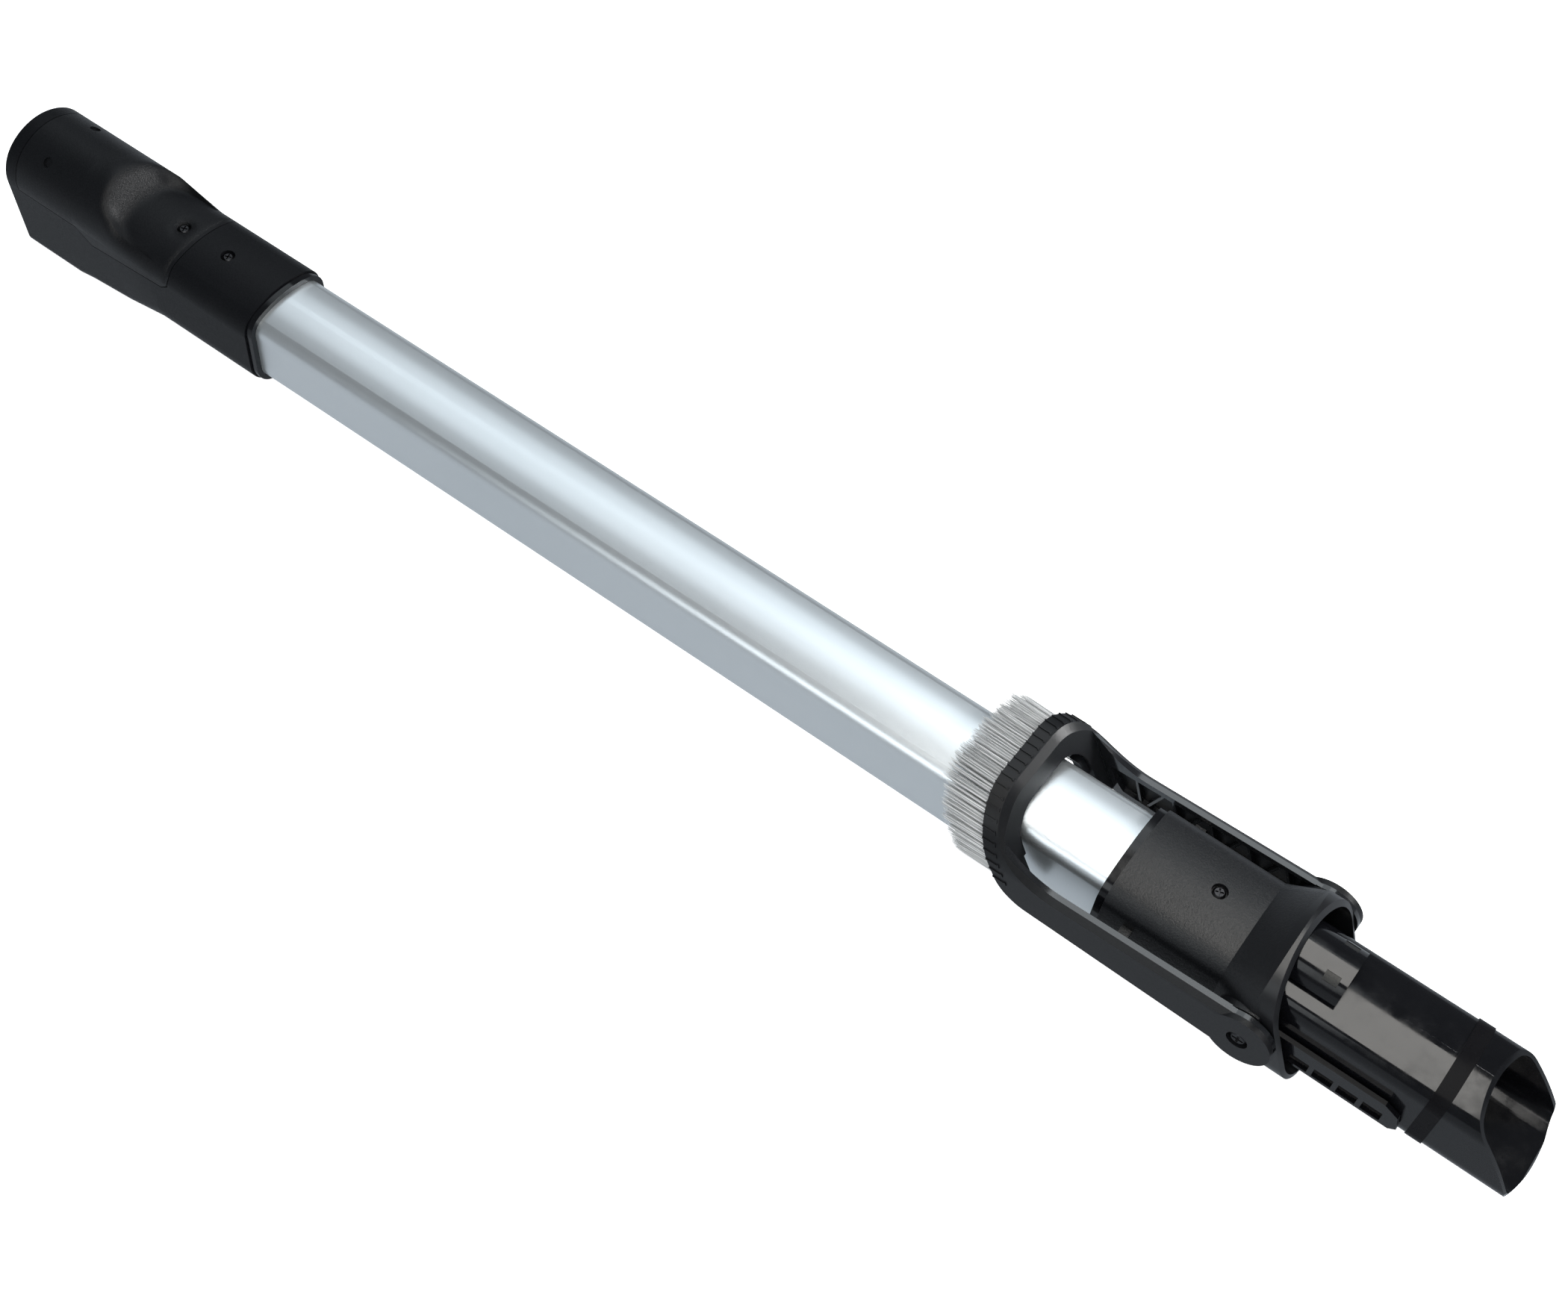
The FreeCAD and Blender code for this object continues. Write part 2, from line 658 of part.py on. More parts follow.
bezel = collar_outer.common(behind_plane(face_x)).cut(behind_plane(seam_x))
front_edges = []
for edge in bezel.Edges:
    if all(abs(v.X - face_x + d.face_slope * v.Z) < 0.01 for v in edge.Vertexes):
        front_edges.append(edge)
bezel = bezel.makeChamfer(d.bezel_chamfer, d.bezel_bevel, front_edges)
solid_node("front_bezel", bezel.cut(collar_cut))

# Tongue over the spigot with its two contacts

tongue_start = Vector(recess_x, 0, d.tongue_z)
tongue_end_x = tube_end + d.tongue_ahead
tongue_length = tongue_end_x - recess_x
tongue = Part.makeCylinder(d.tongue_radius, tongue_length, tongue_start, Vector(1, 0, 0))
tongue = tongue.cut(Part.makeCylinder(
    d.tongue_radius - d.tongue_wall, tongue_length, tongue_start, Vector(1, 0, 0)))
tongue = tongue.common(Part.makeBox(tongue_length, 2 * FAR, FAR, Vector(recess_x, -FAR, d.tongue_low_z)))
tongue = tongue.common(recess)
window_x = tongue_end_x - 3 - d.contact_length / 2
shell = Part.makeCylinder(d.tongue_radius - 0.2, tongue_length, tongue_start, Vector(1, 0, 0))
shell = shell.cut(Part.makeCylinder(
    d.tongue_radius - 0.2 - d.contact_thick, tongue_length, tongue_start, Vector(1, 0, 0)))
contacts = []
for side in (-1, 1):
    corner = Vector(window_x - d.contact_length / 2, side * d.contact_y - d.contact_width / 2, d.tongue_z)
    window = Part.makeBox(d.contact_length, d.contact_width, 20, corner)
    tongue = tongue.cut(window)
    contacts.append(shell.common(window))
solid_node("contact_tongue", tongue)
solid_node("contact_near", contacts[0])
solid_node("contact_far", contacts[1])

# Ladder rails beside the spigot


def corner_sketch(body, name, role, corners):
    """Closed outline with every corner bound to the sheet: (value, formula) pairs for each axis."""
    sketch = body.newObject("Sketcher::SketchObject", name)
    sketch.AttachmentSupport = [(origin_plane(body, role), "")]
    sketch.MapMode = "FlatFace"
    outline(sketch, corners)
    return sketch


def outline(sketch, corners):
    first = sketch.GeometryCount
    count = len(corners)
    points = [Vector(u[0], v[0], 0) for u, v in corners]
    for index in range(count):
        sketch.addGeometry(Part.LineSegment(points[index], points[(index + 1) % count]), False)
    for index in range(count):
        following = first + (index + 1) % count
        sketch.addConstraint(Sketcher.Constraint("Coincident", first + index, 2, following, 1))
    for index in range(count):
        for kind, pair in (("DistanceX", corners[index][0]), ("DistanceY", corners[index][1])):
            number = sketch.addConstraint(Sketcher.Constraint(kind, -1, 1, first + index, 1, pair[0]))
            sketch.setExpression(f"Constraints[{number}]", pair[1])


def size(name, offset=0.0):
    """Sheet value with an offset, as the number and as its formula."""
    return getattr(d, name) + offset, f"Sizes.{name} + {offset}"


for label, side in (("rail_near", -1), ("rail_far", 1)):
    rail = new_body(label)
    start = (recess_x, f"{END} + Sizes.sleeve_ahead + Sizes.collar_back_wall")

    def station(setback):
        return rail_front_x - setback, f"{END} + Sizes.rail_ahead - {setback}"

    profile = corner_sketch(rail, f"{label}_outline", "XZ_Plane", [
        (start, size("rail_low_z")),
        (station(2.5), size("rail_low_z")),
        (station(0.0), size("rail_low_z", 2.5)),
        (station(1.5), size("rail_top_z", -3.2)),
        (station(7.0), size("rail_top_z")),
        (start, size("rail_top_z")),
    ])
    for index in range(4):
        left = tube_end + d.window_ahead + index * d.rail_window_pitch
        left_text = f"{END} + Sizes.window_ahead + {index} * Sizes.rail_window_pitch"
        rear = (left, left_text)
        front = (left + d.rail_window_length, f"{left_text} + Sizes.rail_window_length")
        outline(profile, [
            (rear, size("rail_window_low")), (front, size("rail_window_low")),
            (front, size("rail_window_high")), (rear, size("rail_window_high")),
        ])
    pad(rail, f"{label}_plate", profile, "Sizes.rail_thick")
    rail_y = -d.rail_face_y + d.rail_thick if side < 0 else d.rail_face_y
    rail.Placement = Placement(Vector(0, rail_y, 0), Rotation())
    nodes.append(rail)

# Brush fork: two lattice legs and a toothed arch, in one moulding


def u_wire(half, top, corner, low, x):
    """Outline of the arch, open side down, in the plane at x."""
    slant = corner * math.sqrt(0.5)

    def arc(side):
        points = [(side * half, top - corner), (side * (half - corner + slant), top - corner + slant),
                  (side * (half - corner), top)]
        return Part.Arc(*[Vector(x, y, z) for y, z in points]).toShape()

    lines = [
        ((-half, low), (half, low)), ((half, low), (half, top - corner)),
        ((half - corner, top), (corner - half, top)), ((-half, top - corner), (-half, low)),
    ]
    edges = [Part.makeLine(Vector(x, *a), Vector(x, *b)) for a, b in lines]
    return Part.Wire(Part.sortEdges(edges + [arc(1), arc(-1)])[0])


rear_x = tube_end - d.arch_behind
front_x = rear_x + d.arch_length
fork_start = rear_x - FAR
fork_end = pivot_x + FAR


def u_prism(half, top, corner, low):
    return Part.Face(u_wire(half, top, corner, low, fork_start)).extrude(Vector(fork_end - fork_start, 0, 0))


def lean_slab(rear, front):
    """Everything between two leaning planes, given where they cross the tube axis."""
    lean = d.fork_lean * FAR
    return slab([(rear + lean, -FAR), (front + lean, -FAR), (front - lean, FAR), (rear - lean, FAR)],
                -FAR, FAR)


half, top, corner = d.fork_half_width, d.fork_top, d.fork_corner
low_rear, top_rear = d.leg_low_rear, d.leg_top_rear
low_front, top_front = d.leg_low_front, d.leg_top_front
arch_ring = u_prism(half, top, corner, -FAR).cut(
    u_prism(d.fork_inner_half, d.fork_inner_top, d.fork_inner_corner, -FAR - 1))
arch = arch_ring.common(lean_slab(rear_x, front_x))

# The fork seen from the side: a leaning arch, a wide blend down to the leg and a rounded heel
heel_x = rear_x - d.fork_lean * low_rear
neck_x = front_x - d.fork_lean * top_rear
silhouette = slab([
    (heel_x, low_rear), (pivot_x, low_front), (pivot_x, top_front), (neck_x, top_rear),
    (front_x - d.fork_lean * FAR, FAR), (rear_x - d.fork_lean * FAR, FAR),
], -half - 1, half + 1)
for radius, x, z in ((d.heel_radius, heel_x, low_rear), (d.leg_blend, neck_x, top_rear)):
    turned_edges = []
    for edge in silhouette.Edges:
        if all(math.hypot(v.X - x, v.Z - z) < 0.01 for v in edge.Vertexes):
            turned_edges.append(edge)
    silhouette = silhouette.makeFillet(radius, turned_edges)
envelope = silhouette.common(u_prism(half, top, corner, -FAR))


def on_front_edge(edge):
    """True for an edge that runs round the outside of the fork's front and along the leg's top."""
    middle = edge.valueAt((edge.FirstParameter + edge.LastParameter) / 2)
    behind = middle.x < rear_x - d.fork_lean * middle.z + 1
    below = middle.z < (low_rear + top_rear) / 2
    at_pivot = middle.x > pivot_x - 0.1
    if middle.z < top - corner:
        outside = abs(abs(middle.y) - half) < 0.01
    elif abs(middle.y) < half - corner:
        outside = abs(middle.z - top) < 0.01
    else:
        reach = math.hypot(abs(middle.y) - half + corner, middle.z - top + corner)
        outside = abs(reach - corner) < 0.01
    along_x = abs(middle.z - top) < 0.01 and abs(edge.tangentAt(edge.FirstParameter).x) > 0.9
    along_x = along_x or len(set(round(v.X, 2) for v in edge.Vertexes)) == 0
    return outside and not (behind or below or at_pivot or along_x)


envelope = envelope.makeChamfer(d.leg_bevel, [edge for edge in envelope.Edges if on_front_edge(edge)])


def arch_station(distance, inset):
    """Point, tangent and outward normal on the arch, measured along it from the middle of the top."""
    side = 1 if distance >= 0 else -1
    travel = abs(distance)
    radius = corner - inset
    if travel <= half - corner:
        point, outward = (travel, top - inset), (0.0, 1.0)
    elif travel <= half - corner + radius * math.pi / 2:
        turn = (travel - (half - corner)) / radius
        outward = (math.sin(turn), math.cos(turn))
        point = (half - corner + radius * outward[0], top - corner + radius * outward[1])
    else:
        down = travel - (half - corner) - radius * math.pi / 2
        point, outward = (half - inset, top - corner - down), (1.0, 0.0)
    return Vector(0, side * point[0], point[1]), Vector(0, side * outward[0], outward[1])


# Thin ribs round the rear of the arch, each with a short foot at its front end
grips = []
reach = int(d.grip_count) // 2
for index in range(-reach, reach + 1):
    point, outward = arch_station(index * d.grip_pitch, 0.0)
    if point.z < low_rear + 4:
        continue
    along = Vector(0, -outward.z, outward.y)
    for width, start in ((d.grip_width, 0.0), (d.grip_foot, d.grip_length - d.grip_width)):
        corners = [
            point - outward * 0.5 - along * (width / 2), point - outward * 0.5 + along * (width / 2),
            point + outward * d.grip_height + along * (width / 2),
            point + outward * d.grip_height - along * (width / 2),
        ]
        corners = [corner_point + Vector(fork_start, 0, 0) for corner_point in corners]
        bar = Part.Face(Part.makePolygon(corners + corners[:1])).extrude(Vector(2 * FAR, 0, 0))
        grips.append(bar.common(lean_slab(rear_x + start, rear_x + d.grip_length)))
grip_band = grips[0].multiFuse(grips[1:]).common(silhouette)

# Snap tabs that steady the arch on the tube and on the spigot
tabs = u_prism(d.fork_inner_half + 1, d.fork_inner_top - 1, d.fork_inner_corner, -FAR)
tabs = tabs.cut(prism(TUBE, d.spigot_grow + d.tab_gap, fork_start - 1, fork_end + 1))
tabs = tabs.common(lean_slab(rear_x + 2, front_x - 2))
tabs = tabs.common(slab([(fork_start, 5), (fork_end, 5), (fork_end, 12), (fork_start, 12)], -FAR, FAR))

ear_cut_radius = d.ear_radius + 0.9
inner_shape = [
    (front_x - d.fork_lean * low_rear + 4, low_rear + d.leg_flange),
    (pivot_x - 9, low_front + d.leg_flange), (pivot_x - 9, top_front - d.leg_flange),
    (neck_x + 5, top_rear - d.leg_flange), (front_x - d.fork_lean * low_rear, 0),
]
leg_space = silhouette.cut(slab([
    (fork_start, top_rear), (neck_x, top_rear), (neck_x - d.fork_lean * FAR, FAR), (fork_start, FAR),
], -FAR, FAR))
fork = arch.fuse(tabs)
cells = int(d.lattice_cells)
cell_start = inner_shape[0][0] + 1
cell = (pivot_x - 11 - cell_start) / cells
half_rib = d.lattice_rib / 2
for side in (-1, 1):
    low_y, high_y = sorted((side * d.leg_inner_y, side * half))
    leg_box = Part.makeBox(2 * FAR, high_y - low_y, 2 * FAR, Vector(rear_x - d.arch_length, low_y, -FAR))
    leg = leg_space.common(leg_box)
    hollow_y = sorted((side * (d.leg_inner_y - 1), side * (half - d.leg_plate)))
    hollow = slab(inner_shape, *hollow_y)
    rib_y = sorted((side * (d.leg_inner_y + 0.4), side * half))
    for index in range(cells):
        x0 = cell_start + index * cell
        z0, z1 = (low_front, top_front) if index % 2 else (top_front, low_front)
        rib = slab([(x0 - half_rib, z0), (x0 + half_rib, z0), (x0 + cell + half_rib, z1),
                    (x0 + cell - half_rib, z1)], *rib_y)
        hollow = hollow.cut(rib)
    leg = leg.cut(hollow)
    ear_inner = d.boss_face_y + d.washer_thick + d.hinge_gap
    leg = leg.cut(cross_cylinder(ear_cut_radius, pivot_x, d.pivot_z, side * 20, side * ear_inner))
    fork = fork.fuse(leg)
fork = fork.common(envelope).fuse(grip_band)
for side in (-1, 1):
    fork = fork.fuse(cross_cylinder(d.ear_radius, pivot_x, d.pivot_z, side * ear_inner, side * half))
    web_y = side * (ear_inner + d.ear_web)
    fork = fork.cut(cross_cylinder(d.counterbore_radius, pivot_x, d.pivot_z, web_y, side * 40))
    fork = fork.cut(cross_cylinder(
        d.bush_radius + d.running_gap, pivot_x, d.pivot_z, side * 20, side * 40))

strip_low = low_rear + 5


def strip_ring(extra):
    outer_inset = d.strip_inset - extra
    inner_inset = d.strip_inset + d.strip_width + extra
    ring = u_prism(half - outer_inset, top - outer_inset, corner - outer_inset, strip_low - extra)
    return ring.cut(u_prism(half - inner_inset, top - inner_inset, corner - inner_inset, -FAR))


groove = strip_ring(0.1).common(lean_slab(rear_x - 1, rear_x + d.strip_thick + 0.1))
solid_node("brush_fork", fork.cut(groove).removeSplitter())

# Strip with its bristle tufts, pressed into the rear face of the arch
strip = strip_ring(0.0).common(lean_slab(rear_x, rear_x + d.strip_thick))
solid_node("tuft_strip", strip)
bristles = [strip_ring(0.0).common(lean_slab(rear_x - 0.4, rear_x))]
tuft_inset = d.strip_inset + d.strip_width / 2
half_tufts = int(d.tuft_count) // 2


def tuft_wire(point, outward, scale, back):
    along = Vector(0, -outward.z, outward.y) * (d.tuft_width / 2 * scale)
    across = outward * ((d.strip_width - 0.8) / 2 * scale)
    corners = []
    for a, b in ((-1, -1), (1, -1), (1, 1), (-1, 1)):
        corner_point = point + along * a + across * b
        corner_point.x = rear_x - d.fork_lean * corner_point.z - back
        corners.append(corner_point)
    return Part.makePolygon(corners + corners[:1])


for index in range(-half_tufts, half_tufts + 1):
    point, outward = arch_station(index * d.tuft_pitch, tuft_inset)
    if point.z < strip_low + d.tuft_width / 2:
        continue
    wires = [tuft_wire(point, outward, 1.0, 0.2), tuft_wire(point, outward, d.tuft_flare, d.bristle_length)]
    bristles.append(Part.makeLoft(wires, True, True))
solid_node("bristle_tufts", bristles[0].multiFuse(bristles[1:]))

# Pivots: a bush through each ear, a washer under it and a screw that holds both


def disc_body(label, outer, inner, thickness, placement):
    """Flat ring, as a body with one pad."""
    body = new_body(label)
    sketch = body.newObject("Sketcher::SketchObject", f"{label}_outline")
    sketch.AttachmentSupport = [(origin_plane(body, "XY_Plane"), "")]
    sketch.MapMode = "FlatFace"
    for formula in (outer, inner):
        number = sketch.addGeometry(Part.Circle(Vector(0, 0, 0), Vector(0, 0, 1), 2.0), False)
        sketch.addConstraint(Sketcher.Constraint("Coincident", number, 3, -1, 1))
        bound = sketch.addConstraint(Sketcher.Constraint("Radius", number, 2.0 + number))
        sketch.setExpression(f"Constraints[{bound}]", formula)
    pad(body, f"{label}_disc", sketch, thickness)
    body.Placement = placement
    nodes.append(body)


def screw_body(label, head_radius, head_height, shank_radius, length, placement):
    """Pan-head screw along its own Z, head above zero, with a cross recess."""
    body = new_body(label)
    zero = (0.0, "0")
    height = size(head_height)
    profile = corner_sketch(body, f"{label}_profile", "XZ_Plane", [
        (zero, (-length[0], f"-({length[1]})")),
        ((getattr(d, shank_radius), f"Sizes.{shank_radius}"), (-length[0], f"-({length[1]})")),
        (size(shank_radius), zero),
        (size(head_radius), zero),
        (size(head_radius), (height[0] * 0.5, f"Sizes.{head_height} * 0.5")),
        ((getattr(d, head_radius) * 0.7, f"Sizes.{head_radius} * 0.7"), height),
        (zero, height),
    ])
    turned = body.newObject("PartDesign::Revolution", f"{label}_turned")
    turned.Profile = profile
    turned.ReferenceAxis = (profile, ["V_Axis"])
    turned.Angle = 360
    arm, web = 0.62 * getattr(d, head_radius), 0.13 * getattr(d, head_radius)
    arm_text, web_text = f"0.62 * Sizes.{head_radius}", f"0.13 * Sizes.{head_radius}"
    cross = [(web, arm), (web, web), (arm, web), (arm, -web), (web, -web), (web, -arm), (-web, -arm),
             (-web, -web), (-arm, -web), (-arm, web), (-web, web), (-web, arm)]

    def formula(value):
        text = arm_text if abs(value) == arm else web_text
        return value, text if value > 0 else f"-({text})"

    recess_sketch = corner_sketch(
        body, f"{label}_recess_outline", "XY_Plane", [(formula(u), formula(v)) for u, v in cross])
    recess_sketch.setExpression(".AttachmentOffset.Base.z", f"Sizes.{head_height}")
    pocket(body, f"{label}_recess", recess_sketch, f"Sizes.{head_height} * 0.6")
    body.Placement = placement
    nodes.append(body)


shank_end = TUBE.top - d.tube_wall + 0.1
for label, x, crown in (
    ("cover_screw", d.cover_screw_x, housing_top),
    ("housing_screw", d.housing_screw_x, housing_top),
    ("sleeve_screw", sleeve_screw_x, sleeve_top),
):
    seat_z = crown - screw_sunk
    wall_text = "Sizes.housing_wall" if crown == housing_top else "Sizes.sleeve_wall"
    length = (seat_z - shank_end, f"{wall_text} + Sizes.tube_wall - Sizes.screw_recess_depth - 0.1")
    screw_body(label, "screw_head_radius", "screw_head_height", "screw_shank_radius", length,
               Placement(Vector(x, 0, seat_z), Rotation(Vector(0, 0, 1), 20)))

for tail, side in (("near", -1), ("far", 1)):
    turn = Rotation(Vector(0, 0, 1), Vector(0, side, 0))
    face = Vector(pivot_x, side * d.boss_face_y, d.pivot_z)
    disc_body(f"pivot_washer_{tail}", "Sizes.washer_radius", "Sizes.bush_radius + Sizes.seat_gap",
              "Sizes.washer_thick", Placement(face, turn))
    stand = "Sizes.washer_thick + Sizes.hinge_gap + Sizes.ear_web + 0.2"
    disc_body(f"pivot_bush_{tail}", "Sizes.bush_radius", "Sizes.bush_bore", stand, Placement(face, turn))
    head_y = side * (d.boss_face_y + d.washer_thick + d.hinge_gap + d.ear_web + 0.2)
    screw_body(f"pivot_screw_{tail}", "pivot_head_radius", "pivot_head_height", "pivot_shank_radius",
               size("pivot_screw_length"), Placement(Vector(pivot_x, head_y, d.pivot_z), turn))

# Holes for the three screws in the tube's crown
tube_body = nodes[0]
holes = tube_body.newObject("Sketcher::SketchObject", "screw_holes_outline")
holes.AttachmentSupport = [(origin_plane(tube_body, "XY_Plane"), "")]
holes.MapMode = "FlatFace"
holes.setExpression(".AttachmentOffset.Base.z", "Sizes.tube_top + 1")
for hole_x, formula in (
    (d.cover_screw_x, "Sizes.cover_screw_x"),
    (d.housing_screw_x, "Sizes.housing_screw_x"),
    (sleeve_screw_x, f"{END} - Sizes.sleeve_screw_behind"),
):
    number = holes.addGeometry(Part.Circle(Vector(hole_x, 0, 0), Vector(0, 0, 1), 1.3), False)
    centre_bound = holes.addConstraint(Sketcher.Constraint("DistanceX", -1, 1, number, 3, hole_x))
    holes.setExpression(f"Constraints[{centre_bound}]", formula)
    holes.addConstraint(Sketcher.Constraint("PointOnObject", number, 3, -1))
    radius_bound = holes.addConstraint(Sketcher.Constraint("Radius", number, 1.3))
    holes.setExpression(f"Constraints[{radius_bound}]", "Sizes.screw_shank_radius + Sizes.seat_gap")
pocket(tube_body, "screw_holes", holes, "4")

# Check every feature, then write each sub-part

doc.recompute()
for item in doc.Objects:
    if "Invalid" in item.State or "Error" in item.State:
        raise RuntimeError(f"{item.Label}: {item.State}")
for node in nodes:
    shape = node.Shape
    if shape.isNull() or not shape.isValid():
        raise RuntimeError(f"{node.Label}: no valid shape")
    print(node.Label, len(shape.Solids), "solid(s)", round(shape.Volume, 1), "mm3", len(shape.Faces), "faces")
    shape.exportStep(f"parts/{node.Label}.step")
print(len(nodes), "nodes")
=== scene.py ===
import math
import random

import bpy
from mathutils import Matrix, Vector


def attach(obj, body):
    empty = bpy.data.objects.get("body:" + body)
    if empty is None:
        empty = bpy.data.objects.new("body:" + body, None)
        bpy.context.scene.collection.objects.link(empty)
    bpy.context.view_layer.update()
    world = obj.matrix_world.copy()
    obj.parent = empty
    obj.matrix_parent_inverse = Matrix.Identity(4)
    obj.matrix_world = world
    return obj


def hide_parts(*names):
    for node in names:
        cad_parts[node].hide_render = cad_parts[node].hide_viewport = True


# Vacuum cleaner tube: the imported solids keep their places, and each section below gives one
# piece of the real tube its surface. All sizes are metres in the frame of the solids.

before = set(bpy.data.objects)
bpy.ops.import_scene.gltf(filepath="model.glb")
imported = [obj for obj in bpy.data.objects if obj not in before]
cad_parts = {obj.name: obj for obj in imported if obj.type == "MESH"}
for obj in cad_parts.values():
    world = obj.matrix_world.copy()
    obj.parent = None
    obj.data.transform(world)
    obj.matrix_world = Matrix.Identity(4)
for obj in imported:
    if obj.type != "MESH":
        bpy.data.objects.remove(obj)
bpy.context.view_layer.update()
bpy.ops.object.select_all(action="DESELECT")

# Camera and studio
# The tube lies on a white floor, with a round white backdrop far behind it. The camera stands
# above the nozzle end, on the near side, and looks back along the tube, so that the handle end
# falls away to the upper left. Six soft boxes give the tube its long reflections.

camera_data = bpy.data.cameras.new("camera")
camera_data.lens = 48.0
camera_data.sensor_width = 36.0
camera_data.clip_start = 0.01
camera = bpy.data.objects.new("camera", camera_data)
bpy.context.scene.collection.objects.link(camera)
camera_place = Vector((0.6303, -0.3615, 0.6443))
camera_right = Vector((0.798, 0.601, 0.042)).normalized()
camera_forward = Vector((-0.305, 0.4636, -0.8318)).normalized()
camera_up = camera_right.cross(camera_forward).normalized()
camera_forward = camera_up.cross(camera_right).normalized()
camera.matrix_world = Matrix((
    (camera_right.x, camera_up.x, -camera_forward.x, camera_place.x),
    (camera_right.y, camera_up.y, -camera_forward.y, camera_place.y),
    (camera_right.z, camera_up.z, -camera_forward.z, camera_place.z),
    (0, 0, 0, 1),
))
bpy.context.scene.camera = camera
bpy.context.scene.view_settings.view_transform = "Standard"

floor_z, floor_middle, floor_size = -0.0272, 0.35, 60
bpy.ops.mesh.primitive_plane_add(size=floor_size, location=(floor_middle, 0, floor_z))
floor = bpy.context.active_object
floor.name = "floor"
floor_finish = bpy.data.materials.new("white_sweep")
floor_finish.use_nodes = True
floor_shader = floor_finish.node_tree.nodes["Principled BSDF"]
floor_shader.inputs["Base Color"].default_value = (0.92, 0.92, 0.92, 1)
floor_shader.inputs["Roughness"].default_value = 0.9
floor_shader.inputs["Emission Color"].default_value = (1, 1, 1, 1)
floor_shader.inputs["Emission Strength"].default_value = 0.85
floor.data.materials.append(floor_finish)
floor.visible_glossy = False

backdrop_radius, backdrop_height = 20.0, 8.0
bpy.ops.mesh.primitive_cylinder_add(
    vertices=96, radius=backdrop_radius, depth=backdrop_height, end_fill_type="NOTHING",
    location=(floor_middle, 0, floor_z + backdrop_height / 2))
backdrop = bpy.context.active_object
backdrop.name = "backdrop"
backdrop.data.materials.append(floor_finish)
backdrop.visible_glossy = False
backdrop.visible_diffuse = False
backdrop.visible_shadow = False


class Field:
    """A node socket that takes part in arithmetic like a number."""

    def __init__(self, tree, socket):
        self.tree = tree
        self.socket = socket

    def node(self, kind, settings, values, output=0):
        """Add a node: its settings come first, then values or fields for its sockets."""
        made = self.tree.nodes.new(kind)
        for name, value in settings.items():
            setattr(made, name, value)
        for key, value in values.items():
            if isinstance(value, Field):
                self.tree.links.new(value.socket, made.inputs[key])
            else:
                made.inputs[key].default_value = value
        return Field(self.tree, made.outputs[output])

    def maths(self, operation, *values):
        return self.node("ShaderNodeMath", {"operation": operation}, dict(enumerate(values)))

    def __add__(self, other):
        return self.maths("ADD", self, other)

    __radd__ = __add__

    def __mul__(self, other):
        return self.maths("MULTIPLY", self, other)

    __rmul__ = __mul__

    def __sub__(self, other):
        return self.maths("SUBTRACT", self, other)

    def __rsub__(self, other):
        return self.maths("SUBTRACT", other, self)

    def __lt__(self, other):
        return self.maths("LESS_THAN", self, other)

    def __gt__(self, other):
        return self.maths("GREATER_THAN", self, other)

    def __abs__(self):
        return self.maths("ABSOLUTE", self)

    def between(self, low, high):
        """Stretch a field that runs from 0 to 1 so that it runs from low to high."""
        return self * (high - low) + low

    def axis(self, name):
        return self.node("ShaderNodeSeparateXYZ", {}, {0: self}, name)

    def grain(self, scale, detail=3.0, roughness=0.5):
        """Even noise between 0 and 1, with its scale in features per metre."""
        return self.node("ShaderNodeTexNoise", {}, {
            "Vector": self, "Scale": scale, "Detail": detail, "Roughness": roughness})

    def bump(self, height, strength, distance):
        """A normal raised by a height field, with its distance in metres."""
        return self.node("ShaderNodeBump", {}, {
            "Height": height, "Strength": strength, "Distance": distance})

    def tint(self, mask, dark, light):
        """A colour that runs from dark to light as the mask runs from 0 to 1."""
        return self.node("ShaderNodeMix", {"data_type": "RGBA"}, {
            0: mask, 6: (*dark, 1), 7: (*light, 1)}, 2)


studio = bpy.data.worlds.new("studio")
bpy.context.scene.world = studio
studio.use_nodes = True
room = studio.node_tree.nodes["Background"]
room.inputs["Color"].default_value = (0.88, 0.96, 1.04, 1)
directions = studio.node_tree.nodes.new("ShaderNodeTexCoord")
heading = Field(studio.node_tree, directions.outputs["Generated"])
light_above, light_below = 0.14, 0.45
room_light = (heading.axis("Z") < 0).between(light_above, light_below)
studio.node_tree.links.new(room_light.socket, room.inputs["Strength"])


def soft_box(name, place, aim, width, height, brightness, colour):
    """A soft box pointed at a place on the tube; its brightness is that of its white face."""
    light_data = bpy.data.lights.new(name, "AREA")
    light_data.shape = "RECTANGLE"
    light_data.size, light_data.size_y = width, height
    light_data.energy = brightness * math.pi * width * height
    light_data.color = colour
    light = bpy.data.objects.new(name, light_data)
    bpy.context.scene.collection.objects.link(light)
    light.location = place
    light.rotation_euler = (Vector(aim) - Vector(place)).to_track_quat("-Z", "Y").to_euler()


soft_box("soft_box_over", place=(0.61, -0.22, 1.1), aim=(0.61, -0.21, 0),
         width=0.31, height=1.36, brightness=6.6, colour=(1.0, 0.98, 0.94))
soft_box("soft_box_far", place=(-0.175, 0.72, 1.2), aim=(0.1, 0.15, 0),
         width=1.45, height=1.0, brightness=1.05, colour=(0.92, 1.0, 1.05))
soft_box("soft_box_middle", place=(0.36, 0.72, 1.19), aim=(0.36, 0.15, 0),
         width=0.40, height=0.8, brightness=0.75, colour=(0.95, 1.0, 1.02))
soft_box("soft_box_near", place=(0.28, -1.0, 0.54), aim=(0.45, 0, 0),
         width=0.70, height=0.50, brightness=2.0, colour=(0.95, 1.0, 1.02))
soft_box("soft_box_front", place=(1.12, -0.78, 1.05), aim=(0.55, 0, 0),
         width=0.50, height=0.50, brightness=3.0, colour=(1.0, 0.99, 0.97))
soft_box("soft_box_end", place=(1.30, 0.99, 0.52), aim=(0.06, 0, 0.02),
         width=0.36, height=0.36, brightness=40.0, colour=(1.0, 1.0, 1.0))


